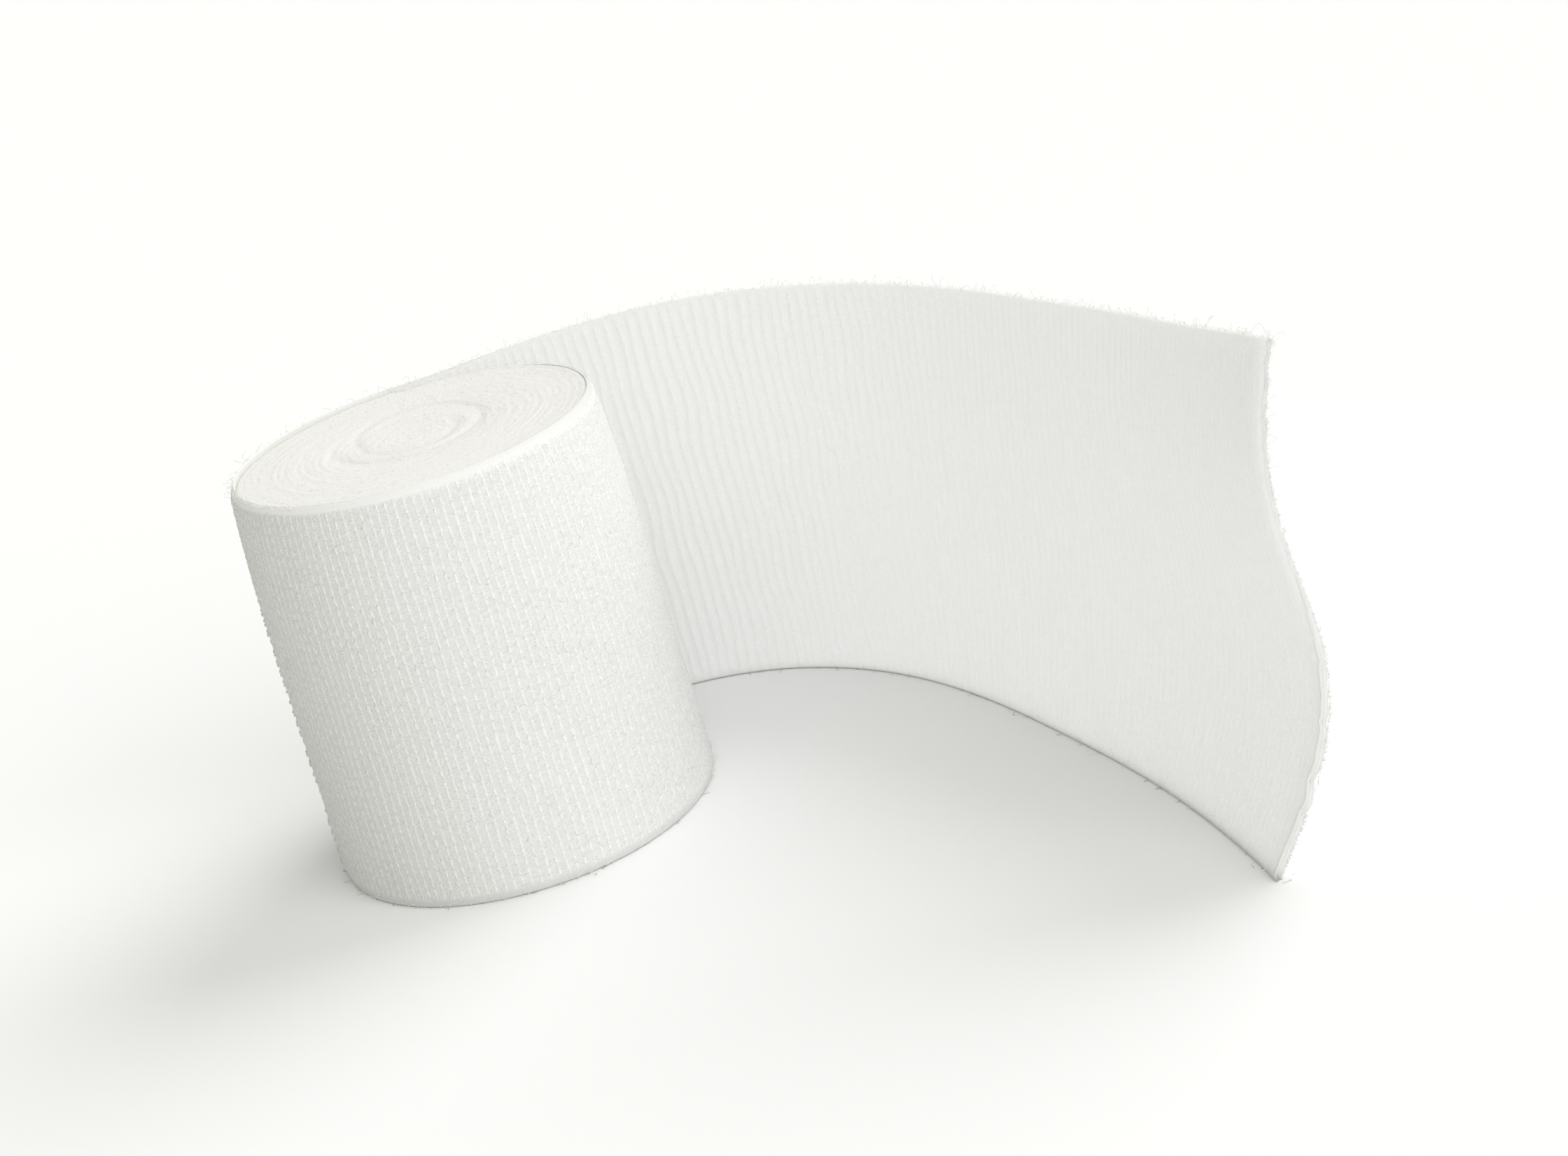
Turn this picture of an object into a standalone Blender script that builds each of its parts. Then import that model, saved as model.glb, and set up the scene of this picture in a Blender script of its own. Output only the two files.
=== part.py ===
"""Elastic bandage wound into a roll, standing on its end with a loose end led out behind it.

The roll's axis is +Z through the origin, and its lower end face is z = 0. The loose end leaves the
back of the roll, stands on its lower edge and curves round to the front.
"""
import math

import bmesh
import bpy
from mathutils import Vector

MM = 0.001

# cloth
CLOTH_WIDTH = 80.0          # width of the bandage where it is wound
CLOTH_THICKNESS = 1.0       # loose end, relaxed
TURN_PITCH = 1.35           # radial step from one turn to the next
GAP = 0.3                   # between the loose end and the turn it leaves

# roll
LEAVE_ANGLE = 98.7          # where the loose end leaves the roll, in degrees from +X
OVALITY = 0.016             # deeper front to back than it is wide
AROUND = 128                # facets round the roll
RIM_LEDGE = 1.7             # flat top of the outer turn where it is widest

# outer turn, from the lower end face up
WALL = [
    {"height": 0.0, "radius": 37.9},
    {"height": 0.5, "radius": 38.3},
    {"height": 2.0, "radius": 38.5},
    {"height": 9.0, "radius": 38.4},
    {"height": 25.0, "radius": 38.1},
    {"height": 45.0, "radius": 37.9},
    {"height": 62.0, "radius": 37.5},
    {"height": 72.0, "radius": 36.9},
    {"height": 78.0, "radius": 36.4},
    {"height": 79.6, "radius": 36.2},
    {"height": 80.0, "radius": 35.9},
]

# upper end face, from the outer turn's ledge in to the middle
END_FACE = [
    {"inset": 0.4, "depth": 0.9},
    {"inset": 3.0, "depth": 1.0},
    {"inset": 10.0, "depth": 0.7},
    {"inset": 18.0, "depth": 0.8},
    {"inset": 21.5, "depth": 1.5},
    {"inset": 24.0, "depth": 1.0},
    {"inset": 31.0, "depth": 1.2},
]

# loose end: evenly spaced sections from the roll to the cut end. heading is the way the foot runs,
# in degrees from +X; lean and trail are how far the top stands out and lags behind; belly and curl
# bend the section, in one bow and in an S.
LOOSE_LENGTH = 229.0
SECTIONS = [
    {"heading": 9.0, "lean": -2.0, "trail": 0.0, "belly": 0.0, "curl": 0.0, "width": 80.0},
    {"heading": 4.0, "lean": 2.3, "trail": 0.3, "belly": 0.0, "curl": 0.0, "width": 80.0},
    {"heading": -32.5, "lean": 7.0, "trail": 1.0, "belly": 0.0, "curl": 0.0, "width": 80.0},
    {"heading": -56.5, "lean": 12.0, "trail": 2.2, "belly": 0.0, "curl": 0.1, "width": 80.0},
    {"heading": -67.5, "lean": 16.0, "trail": 3.5, "belly": 0.7, "curl": 0.6, "width": 80.5},
    {"heading": -70.5, "lean": 19.0, "trail": 4.8, "belly": 1.9, "curl": 1.4, "width": 81.6},
    {"heading": -76.5, "lean": 19.8, "trail": 6.0, "belly": 3.8, "curl": 2.8, "width": 84.2},
    {"heading": -82.0, "lean": 20.0, "trail": 7.3, "belly": 5.8, "curl": 4.5, "width": 89.3},
]
LOOSE_STATIONS = 57
LOOSE_ROWS = 13
SEAT_LENGTH = 25.0          # stretch over which the loose end frees itself from the roll's shape


def clear_scene():
    for item in list(bpy.data.objects):
        bpy.data.objects.remove(item, do_unlink=True)


def fabric_material(name, colour, roughness):
    material = bpy.data.materials.new(name)
    material.use_nodes = True
    shader = material.node_tree.nodes["Principled BSDF"]
    shader.inputs["Base Color"].default_value = (*colour, 1.0)
    shader.inputs["Roughness"].default_value = roughness
    shader.inputs["Metallic"].default_value = 0.0
    return material


def add_object(name, mesh_data, material):
    """Make an object from a bmesh, with smooth faces and sharp edges."""
    mesh = bpy.data.meshes.new(name)
    bmesh.ops.recalc_face_normals(mesh_data, faces=mesh_data.faces)
    mesh_data.to_mesh(mesh)
    mesh_data.free()
    mesh.shade_smooth()
    mesh.set_sharp_from_angle(angle=math.radians(40))
    mesh.materials.append(material)
    item = bpy.data.objects.new(name, mesh)
    bpy.context.scene.collection.objects.link(item)
    return item


def wall_radius(height):
    """Radius of the outer turn at a height, where the winding ends."""
    for low, high in zip(WALL, WALL[1:]):
        if height <= high["height"]:
            share = (height - low["height"]) / (high["height"] - low["height"])
            return low["radius"] + share * (high["radius"] - low["radius"])
    return WALL[-1]["radius"]


def oval(radius, angle, height):
    """Point of the roll at a radius and an angle in degrees."""
    turn = math.radians(angle)
    return Vector((
        radius * (1 - OVALITY) * math.cos(turn) * MM,
        radius * (1 + OVALITY) * math.sin(turn) * MM,
        height * MM,
    ))


def spiral_ring(mesh, radius, height):
    """One turn's outline: it starts at full radius and ends a turn's pitch further in."""
    ring = []
    for step in range(AROUND + 1):
        share = step / AROUND
        angle = LEAVE_ANGLE + 360 * share
        ring.append(mesh.verts.new(oval(radius - TURN_PITCH * share, angle, height)))
    return ring


def closed_ring(mesh, radius, height):
    ring = []
    for step in range(AROUND):
        angle = LEAVE_ANGLE + 360 * step / AROUND
        ring.append(mesh.verts.new(oval(radius, angle, height)))
    return ring


def join_spirals(mesh, low, high):
    """Faces between two spiral rings, and the strip of the step where the winding ends."""
    for step in range(AROUND):
        mesh.faces.new((low[step], low[step + 1], high[step + 1], high[step]))
    mesh.faces.new((low[AROUND], low[0], high[0], high[AROUND]))


def join_ledge(mesh, spiral, ring):
    """Flat faces between a spiral ring and a closed ring at the same height."""
    mesh.faces.new((ring[0], ring[1], spiral[1], spiral[0], spiral[AROUND]))
    for step in range(1, AROUND):
        following = ring[(step + 1) % AROUND]
        mesh.faces.new((ring[step], following, spiral[step + 1], spiral[step]))


def join_rings(mesh, outer, inner):
    for step in range(AROUND):
        following = (step + 1) % AROUND
        mesh.faces.new((outer[step], outer[following], inner[following], inner[step]))


def close_ring(mesh, ring, height):
    middle = mesh.verts.new((0, 0, height * MM))
    for step in range(AROUND):
        mesh.faces.new((ring[step], ring[(step + 1) % AROUND], middle))


def make_roll():
    mesh = bmesh.new()
    walls = [spiral_ring(mesh, row["radius"], row["height"]) for row in WALL]
    for low, high in zip(walls, walls[1:]):
        join_spirals(mesh, low, high)

    base = closed_ring(mesh, WALL[0]["radius"] - RIM_LEDGE, 0.0)
    join_ledge(mesh, walls[0], base)
    close_ring(mesh, base, 0.0)

    ledge_radius = WALL[-1]["radius"] - RIM_LEDGE
    ring = closed_ring(mesh, ledge_radius, CLOTH_WIDTH)
    join_ledge(mesh, walls[-1], ring)
    for row in END_FACE:
        inner = closed_ring(mesh, ledge_radius - row["inset"], CLOTH_WIDTH - row["depth"])
        join_rings(mesh, ring, inner)
        ring = inner
    close_ring(mesh, ring, CLOTH_WIDTH - END_FACE[-1]["depth"])
    return add_object("roll", mesh, fabric_material("roll", (0.86, 0.86, 0.83), 0.95))


def section_value(column, share):
    """A column of the section table at a share of the loose end's length, smoothly interpolated."""
    values = [row[column] for row in SECTIONS]
    place = share * (len(values) - 1)
    start = min(int(place), len(values) - 2)
    local = place - start
    before = values[start - 1] if start > 0 else 2 * values[0] - values[1]
    after = values[start + 2] if start + 2 < len(values) else 2 * values[-1] - values[-2]
    here, following = values[start], values[start + 1]
    return 0.5 * (
        2 * here
        + (following - before) * local
        + (2 * before - 5 * here + 4 * following - after) * local ** 2
        + (3 * here - before - 3 * following + after) * local ** 3
    )


def foot_path():
    """Points along the foot of the loose end, each with its heading in radians."""
    start_radius = wall_radius(WALL[2]["height"]) - CLOTH_THICKNESS / 2
    place = oval(start_radius, LEAVE_ANGLE, 0.0) / MM
    heading = math.radians(SECTIONS[0]["heading"])
    place += GAP * Vector((math.cos(heading), math.sin(heading), 0))
    step = LOOSE_LENGTH / (LOOSE_STATIONS - 1)
    path = [(place.copy(), heading)]
    for station in range(1, LOOSE_STATIONS):
        following = math.radians(section_value("heading", station / (LOOSE_STATIONS - 1)))
        middle = (heading + following) / 2
        place += step * Vector((math.cos(middle), math.sin(middle), 0))
        path.append((place.copy(), following))
        heading = following
    return path


def seat_share(distance):
    """1 where the loose end still has the roll's shape, 0 where it is free of it."""
    share = min(distance / SEAT_LENGTH, 1.0)
    return 1 - share * share * (3 - 2 * share)


def section_points(share, foot, heading):
    """Points up one section of the loose end, on the cloth's middle surface, in millimetres."""
    lean, trail, belly, curl, width = [
        section_value(column, share) for column in ("lean", "trail", "belly", "curl", "width")
    ]
    along = Vector((math.cos(heading), math.sin(heading), 0))
    outward = Vector((-math.sin(heading), math.cos(heading), 0))
    chord = width - 8 / 3 * (belly ** 2 + curl ** 2) / width
    height = math.sqrt(chord ** 2 - lean ** 2 - trail ** 2)
    seated = seat_share(share * LOOSE_LENGTH)
    foot_radius = wall_radius(WALL[2]["height"])
    points = []
    for row in range(LOOSE_ROWS):
        up = row / (LOOSE_ROWS - 1)
        bend = belly * math.sin(math.pi * up) + curl * math.sin(2 * math.pi * up)
        free = lean * up + bend
        roll_height = max(up * CLOTH_WIDTH, WALL[2]["height"])
        held = wall_radius(roll_height) - foot_radius
        out = seated * held + (1 - seated) * free
        points.append(foot + outward * out - along * trail * up + Vector((0, 0, height * up)))
    return points


def grid_normal(grid, station, row):
    """Unit normal of the middle surface, pointing away from the roll."""
    last_station, last_row = len(grid) - 1, len(grid[0]) - 1
    run = grid[min(station + 1, last_station)][row] - grid[max(station - 1, 0)][row]
    rise = grid[station][min(row + 1, last_row)] - grid[station][max(row - 1, 0)]
    return rise.cross(run).normalized()


def make_loose_end():
    path = foot_path()
    grid = []
    for station, (foot, heading) in enumerate(path):
        grid.append(section_points(station / (LOOSE_STATIONS - 1), foot, heading))

    mesh = bmesh.new()
    sides = []
    for side in (-0.5, 0.5):
        faces = []
        for station in range(LOOSE_STATIONS):
            column = []
            for row in range(LOOSE_ROWS):
                normal = grid_normal(grid, station, row)
                point = grid[station][row] + normal * CLOTH_THICKNESS * side
                if row == 0:
                    point.z = 0.0
                column.append(mesh.verts.new(point * MM))
            faces.append(column)
        sides.append(faces)

    inner, outer = sides
    for station in range(LOOSE_STATIONS - 1):
        following = station + 1
        for row in range(LOOSE_ROWS - 1):
            for side in sides:
                mesh.faces.new((
                    side[station][row], side[following][row],
                    side[following][row + 1], side[station][row + 1],
                ))
        for row in (0, LOOSE_ROWS - 1):
            mesh.faces.new((
                inner[station][row], inner[following][row],
                outer[following][row], outer[station][row],
            ))
    for station in (0, LOOSE_STATIONS - 1):
        for row in range(LOOSE_ROWS - 1):
            mesh.faces.new((
                inner[station][row], inner[station][row + 1],
                outer[station][row + 1], outer[station][row],
            ))
    return add_object("loose_end", mesh, fabric_material("loose_end", (0.84, 0.84, 0.81), 0.95))


clear_scene()
make_roll()
make_loose_end()
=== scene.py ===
import math

import bpy
import numpy as np
from mathutils import Matrix, Vector


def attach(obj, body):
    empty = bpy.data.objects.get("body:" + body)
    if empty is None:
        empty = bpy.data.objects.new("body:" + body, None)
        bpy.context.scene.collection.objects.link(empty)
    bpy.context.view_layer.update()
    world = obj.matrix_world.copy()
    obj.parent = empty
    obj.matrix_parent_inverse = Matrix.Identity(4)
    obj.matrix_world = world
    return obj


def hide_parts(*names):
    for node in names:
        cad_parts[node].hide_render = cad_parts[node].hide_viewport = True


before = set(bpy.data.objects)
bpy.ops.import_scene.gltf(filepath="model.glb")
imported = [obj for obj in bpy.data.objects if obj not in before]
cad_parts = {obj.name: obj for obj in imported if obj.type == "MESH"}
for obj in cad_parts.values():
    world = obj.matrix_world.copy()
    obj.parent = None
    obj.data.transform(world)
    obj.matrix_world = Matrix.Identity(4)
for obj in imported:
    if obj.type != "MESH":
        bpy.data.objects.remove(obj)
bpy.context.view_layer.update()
mm = 0.001
print("frame loaded:", ", ".join(sorted(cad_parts)))

view = {
    "lens": 69.1,  # mm
    "sensor": 36,
    "place": (0.0595, -0.543, 0.2259),
    "down": 19.61,  # degrees below the horizon
    "roll": -15.47,  # the roll's axis leans to the left in the picture
}
lights = {
    "surround": 0.43,
    "surroundColour": (1.0, 1.0, 0.935),
    "spread": 50,  # degrees across each lamp, which softens its shadows
    # direction round from +X and height above the floor, both in degrees, and strength
    "frontLamp": (295, 40, 0.94),
    "lowLamp": (320, 15, 0.77),
    "backLamp": (30, 40, 1.62),  # shines through the loose end
    "floorColour": (0.98, 0.98, 0.985),
    "floorSize": 9.0,
    "floorDrop": 0.05,  # mm below what stands on it
}


def makeCamera():
    down, roll = math.radians(view["down"]), math.radians(view["roll"])
    ahead = Vector((0, math.cos(down), -math.sin(down)))
    above = Vector((0, math.sin(down), math.cos(down)))
    level = Vector((1, 0, 0))
    right = level * math.cos(roll) + above * math.sin(roll)
    up = above * math.cos(roll) - level * math.sin(roll)
    camera = bpy.data.objects.new("camera", bpy.data.cameras.new("camera"))
    camera.data.lens = view["lens"]
    camera.data.sensor_width = view["sensor"]
    turn = Matrix((right, up, -ahead)).transposed().to_4x4()
    camera.matrix_world = Matrix.Translation(view["place"]) @ turn
    bpy.context.scene.collection.objects.link(camera)
    bpy.context.scene.camera = camera


def addLamp(name):
    direction, height, strength = lights[name]
    around, above = math.radians(direction), math.radians(height)
    comesFrom = Vector((
        math.cos(above) * math.cos(around), math.cos(above) * math.sin(around), math.sin(above)))
    lamp = bpy.data.lights.new(name, "SUN")
    lamp.energy = strength
    lamp.angle = math.radians(lights["spread"])
    holder = bpy.data.objects.new(name, lamp)
    holder.rotation_euler = comesFrom.to_track_quat("Z", "Y").to_euler()
    bpy.context.scene.collection.objects.link(holder)


def makeSurroundings():
    world = bpy.data.worlds.new("studio")
    world.use_nodes = True
    sky = world.node_tree.nodes["Background"].inputs
    sky["Color"].default_value = (*lights["surroundColour"], 1)
    sky["Strength"].default_value = lights["surround"]
    bpy.context.scene.world = world
    bpy.context.scene.view_settings.view_transform = "Standard"
    for name in ("frontLamp", "lowLamp", "backLamp"):
        addLamp(name)
    half = lights["floorSize"] / 2
    mesh = bpy.data.meshes.new("floor")
    corners = [(-half, -half, 0), (half, -half, 0), (half, half, 0), (-half, half, 0)]
    mesh.from_pydata(corners, [], [(0, 1, 2, 3)])
    floor = bpy.data.objects.new("floor", mesh)
    floor.location.z = -lights["floorDrop"] * mm
    paper = bpy.data.materials.new("paper floor")
    paper.use_nodes = True
    paint = paper.node_tree.nodes["Principled BSDF"].inputs
    paint["Base Color"].default_value = (*lights["floorColour"], 1)
    paint["Roughness"].default_value = 1.0
    paint["Specular IOR Level"].default_value = 0.0
    mesh.materials.append(paper)
    bpy.context.scene.collection.objects.link(floor)


makeCamera()
makeSurroundings()
print("camera, lights and floor made")

# the form that the cloth is wound and laid to, in mm and degrees, as in the CAD
winding = {
    "clothWidth": 80.0,
    "turnPitch": 1.35,
    "leaveAngle": 98.7,  # where the loose end leaves the roll
    "ovality": 0.016,
    "ribCount": 136,  # round the outer turn
    "wallHeight": [0.0, 0.5, 2.0, 9.0, 25.0, 45.0, 62.0, 72.0, 78.0, 79.6, 80.0],
    "wallRadius": [37.9, 38.3, 38.5, 38.4, 38.1, 37.9, 37.5, 36.9, 36.4, 36.2, 35.9],
    # the upper end face comes up to the rim on the right
    "risenAngle": [98.7, 125, 200, 300, 350, 380, 420, 458.7],
    "risenShare": [0.3, 0.1, 0.0, 0.1, 0.75, 0.95, 0.8, 0.3],
}
loose = {
    "length": 229.0,
    "thickness": 1.1,
    "seatLength": 25.0,  # it follows the roll's wall this far
    "stations": 225,  # worked out along it
    # eight even sections from the roll to the cut end
    "heading": [9.0, 4.0, -32.5, -56.5, -67.5, -70.5, -76.5, -82.0],
    "lean": [-2.0, 2.3, 7.0, 12.0, 16.0, 19.0, 19.8, 20.0],
    "trail": [0.0, 0.3, 1.0, 2.2, 3.5, 4.8, 6.0, 7.3],
    "belly": [0.0, 0.0, 0.0, 0.0, 0.7, 1.9, 3.8, 5.8],
    "curl": [0.0, 0.0, 0.0, 0.1, 0.6, 1.4, 2.8, 4.5],
    "width": [80.0, 80.0, 80.0, 80.0, 80.5, 81.6, 84.2, 89.3],
    "ribPitch": [1.85, 2.05, 2.15, 2.15, 2.05, 1.9, 1.75, 1.6],
}


def softNoise(x, y, seed, waves=9):
    # smooth wandering from -1 to 1, with features about one unit across
    draw = np.random.default_rng(seed)
    total = np.zeros(np.broadcast(x, y).shape)
    for _ in range(waves):
        angle, phase = draw.uniform(0, 2 * math.pi, 2)
        pace = draw.uniform(0.6, 1.5) * math.pi
        total += np.sin(pace * (x * math.cos(angle) + y * math.sin(angle)) + phase)
    return total / math.sqrt(waves)


def smoothStep(value, low, high):
    t = np.clip((value - low) / (high - low), 0, 1)
    return t * t * (3 - 2 * t)


def splineThrough(rows, place):
    # smoothly through the rows of a table: place 0 is its first row, 0.5 halfway to its second
    rows = np.array(rows, float)
    rows = np.concatenate([[2 * rows[0] - rows[1]], rows, [2 * rows[-1] - rows[-2]]])
    start = np.minimum(place.astype(int), len(rows) - 4)
    t = place - start
    if rows.ndim > 1:
        t = t[:, None]
    a, b, c, d = [rows[start + i] for i in range(4)]
    bend = (2 * a - 5 * b + 4 * c - d) * t ** 2 + (3 * b - a - 3 * c + d) * t ** 3
    return 0.5 * (2 * b + (c - a) * t + bend)


def outwardAt(angle):
    return np.stack([np.cos(angle), np.sin(angle), 0 * angle], -1)


def aroundAt(angle):
    return np.stack([-np.sin(angle), np.cos(angle), 0 * angle], -1)


def wallRadius(height):
    return np.interp(height, winding["wallHeight"], winding["wallRadius"])


def turnAngle(share):
    return np.radians(winding["leaveAngle"] + 360 * share)


def rollPoint(share, radius, height):
    # a point of the outer turn: share is how far round from where the loose end leaves
    angle = turnAngle(share)
    reach = radius - winding["turnPitch"] * share
    x = reach * (1 - winding["ovality"]) * np.cos(angle)
    y = reach * (1 + winding["ovality"]) * np.sin(angle)
    return np.stack(np.broadcast_arrays(x, y, height), -1)


def endRise(angle):
    # how far the end face comes up to the rim, from 0 to 1
    return np.interp(np.degrees(angle), winding["risenAngle"], winding["risenShare"])


def looseColumn(name, share):
    return splineThrough(loose[name], np.asarray(share) * (len(loose[name]) - 1))


def loosePath():
    # foot of the loose end and its heading at even stations
    heading = np.radians(looseColumn("heading", np.linspace(0, 1, loose["stations"])))
    middle = (heading[1:] + heading[:-1]) / 2
    step = loose["length"] / (loose["stations"] - 1)
    start = rollPoint(np.array(0.0), wallRadius(2.0) - 0.5, 0.0)[:2]
    x = start[0] + np.concatenate([[0], np.cumsum(np.cos(middle) * step)])
    y = start[1] + np.concatenate([[0], np.cumsum(np.sin(middle) * step)])
    return x, y, heading


pathX, pathY, pathHeading = loosePath()


def loosePoint(share, up):
    # middle surface of the loose end: share along it, and up its width from 0 to 1
    share, up = np.broadcast_arrays(np.asarray(share, float), np.asarray(up, float))
    even = np.linspace(0, 1, len(pathX))
    heading = np.interp(share, even, pathHeading)
    held = np.clip(share, 0, 1)
    lean, trail, belly, curl, width = [
        looseColumn(name, held) for name in ("lean", "trail", "belly", "curl", "width")]
    chord = width - 8 / 3 * (belly ** 2 + curl ** 2) / width
    height = np.sqrt(chord ** 2 - lean ** 2 - trail ** 2)
    seated = smoothStep(1 - share * loose["length"] / loose["seatLength"], 0, 1)
    onWall = wallRadius(np.maximum(up * winding["clothWidth"], 2.0)) - wallRadius(2.0)
    free = lean * up + belly * np.sin(np.pi * up) + curl * np.sin(2 * np.pi * up)
    out = seated * onWall + (1 - seated) * free
    beyond = (np.maximum(share - 1, 0) + np.minimum(share, 0)) * loose["length"]
    x = np.interp(share, even, pathX) + np.cos(heading) * (beyond - trail * up) - np.sin(heading) * out
    y = np.interp(share, even, pathY) + np.sin(heading) * (beyond - trail * up) + np.cos(heading) * out
    return np.stack([x, y, height * up], -1)


def looseOutward(share, up, step=0.002):
    # unit normal of the loose end, pointing away from the roll
    low, high = np.maximum(share - step, 0), np.minimum(share + step, 1)
    run = loosePoint(high, up) - loosePoint(low, up)
    rise = loosePoint(share, np.minimum(up + step, 1)) - loosePoint(share, np.maximum(up - step, 0))
    normal = np.cross(rise, run)
    return normal / np.linalg.norm(normal, axis=-1, keepdims=True)


# node helpers
def addNode(tree, kind, inputs=None, **settings):
    node = tree.nodes.new(kind)
    for name, value in settings.items():
        setattr(node, name, value)
    for name, value in (inputs or {}).items():
        socket = node.inputs[name]
        if isinstance(value, bpy.types.NodeSocket):
            tree.links.new(value, socket)
        else:
            socket.default_value = value
    return node


def calculate(tree, operation, first, second=0.0, third=0.0):
    values = {0: first, 1: second}
    if operation == "MULTIPLY_ADD":
        values[2] = third
    return addNode(tree, "ShaderNodeMath", values, operation=operation).outputs[0]


def times(tree, first, second):
    return calculate(tree, "MULTIPLY", first, second)


def combine(tree, operation, first, second):
    return addNode(tree, "ShaderNodeVectorMath", {0: first, 1: second}, operation=operation).outputs[0]


def scaleVector(tree, vector, factor):
    node = addNode(tree, "ShaderNodeVectorMath", {0: vector, "Scale": factor}, operation="SCALE")
    return node.outputs[0]


def vectorOf(tree, x, y, z):
    return addNode(tree, "ShaderNodeCombineXYZ", {"X": x, "Y": y, "Z": z}).outputs[0]


def between(tree, value, low, high):
    # 0 at low and 1 at high
    inputs = {"Value": value, "From Min": low, "From Max": high}
    return addNode(tree, "ShaderNodeMapRange", inputs).outputs[0]


def stored(tree, name, kind="FLOAT"):
    return addNode(tree, "GeometryNodeInputNamedAttribute", {"Name": name}, data_type=kind).outputs[0]


def chance(tree, seed, step, low, high):
    # a random number for each element, or a random vector where low and high are vectors
    seed = calculate(tree, "ADD", seed, float(step))
    kind, first = ("FLOAT_VECTOR", 0) if isinstance(low, tuple) else ("FLOAT", 2)
    inputs = {first: low, first + 1: high, "Seed": seed}
    return addNode(tree, "FunctionNodeRandomValue", inputs, data_type=kind).outputs[first // 2]


def shifted(tree, geometry, offset):
    return addNode(tree, "GeometryNodeSetPosition", {"Geometry": geometry, "Offset": offset}).outputs[0]


def turnedTo(tree, vector):
    return addNode(tree, "FunctionNodeAlignRotationToVector", {"Vector": vector}, axis="Z").outputs[0]


def newGeometryTree(name, lengths=(), factors=(), counts=()):
    # an empty tree whose inputs are named as in the dictionaries that fill them, lengths in mm there
    tree = bpy.data.node_groups.new(name, "GeometryNodeTree")
    tree.interface.new_socket("Geometry", in_out="INPUT", socket_type="NodeSocketGeometry")
    for label in (*lengths, *factors):
        socket = tree.interface.new_socket(label, in_out="INPUT", socket_type="NodeSocketFloat")
        socket.subtype = "DISTANCE" if label in lengths else "NONE"
    for label in counts:
        tree.interface.new_socket(label, in_out="INPUT", socket_type="NodeSocketInt")
    tree.interface.new_socket("finish", in_out="INPUT", socket_type="NodeSocketMaterial")
    tree.interface.new_socket("Geometry", in_out="OUTPUT", socket_type="NodeSocketGeometry")
    return tree, tree.nodes.new("NodeGroupInput").outputs, tree.nodes.new("NodeGroupOutput").inputs


def finishTree(tree, geometry, inside, out):
    realized = addNode(tree, "GeometryNodeRealizeInstances", {"Geometry": geometry})
    painted = addNode(tree, "GeometryNodeSetMaterial", {
        "Geometry": realized.outputs[0], "Material": inside["finish"]})
    tree.links.new(painted.outputs[0], out["Geometry"])


def grow(holder, tree, sizes, finish, name, sharpFrom=None):
    # run a tree on an object, and turn its result into a plain mesh piece
    modifier = holder.modifiers.new(tree.name, "NODES")
    modifier.node_group = tree
    for item in tree.interface.items_tree:
        if item.in_out == "INPUT" and item.name == "finish":
            modifier[item.identifier] = finish
        elif item.in_out == "INPUT" and item.name in sizes:
            isLength = item.socket_type == "NodeSocketFloat" and item.subtype == "DISTANCE"
            modifier[item.identifier] = sizes[item.name] * (mm if isLength else 1)
    bpy.context.view_layer.update()
    evaluated = holder.evaluated_get(bpy.context.evaluated_depsgraph_get())
    mesh = bpy.data.meshes.new_from_object(evaluated)
    mesh.name = name
    mesh.shade_smooth()
    if sharpFrom:
        mesh.set_sharp_from_angle(angle=math.radians(sharpFrom))
    old = holder.data
    bpy.data.objects.remove(holder)
    bpy.data.meshes.remove(old)
    piece = bpy.data.objects.new(name, mesh)
    bpy.context.scene.collection.objects.link(piece)
    print(f"{name}: {sum(len(face.vertices) - 2 for face in mesh.polygons)} triangles")
    return piece


def meshFrom(name, points, faces=(), edges=(), attributes=None):
    # an object from points in mm, with named numbers or vectors on its points
    mesh = bpy.data.meshes.new(name)
    mesh.from_pydata((np.asarray(points).reshape(-1, 3) * mm).tolist(), edges, faces)
    for label, values in (attributes or {}).items():
        values = np.asarray(values, np.float32)
        isVector = values.ndim > 1 and values.shape[-1] == 3
        layer = mesh.attributes.new(label, "FLOAT_VECTOR" if isVector else "FLOAT", "POINT")
        layer.data.foreach_set("vector" if isVector else "value", values.ravel())
    piece = bpy.data.objects.new(name, mesh)
    bpy.context.scene.collection.objects.link(piece)
    return piece


def gridFaces(columns, rows, wrapColumns=False, wrapRows=False):
    faces = []
    for i in range(columns if wrapColumns else columns - 1):
        left, right = i * rows, (i + 1) % columns * rows
        for j in range(rows if wrapRows else rows - 1):
            above = (j + 1) % rows
            faces.append((left + j, right + j, right + above, left + above))
    return faces


def lineEdges(lines, points):
    return [(i * points + j, i * points + j + 1) for i in range(lines) for j in range(points - 1)]


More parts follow.
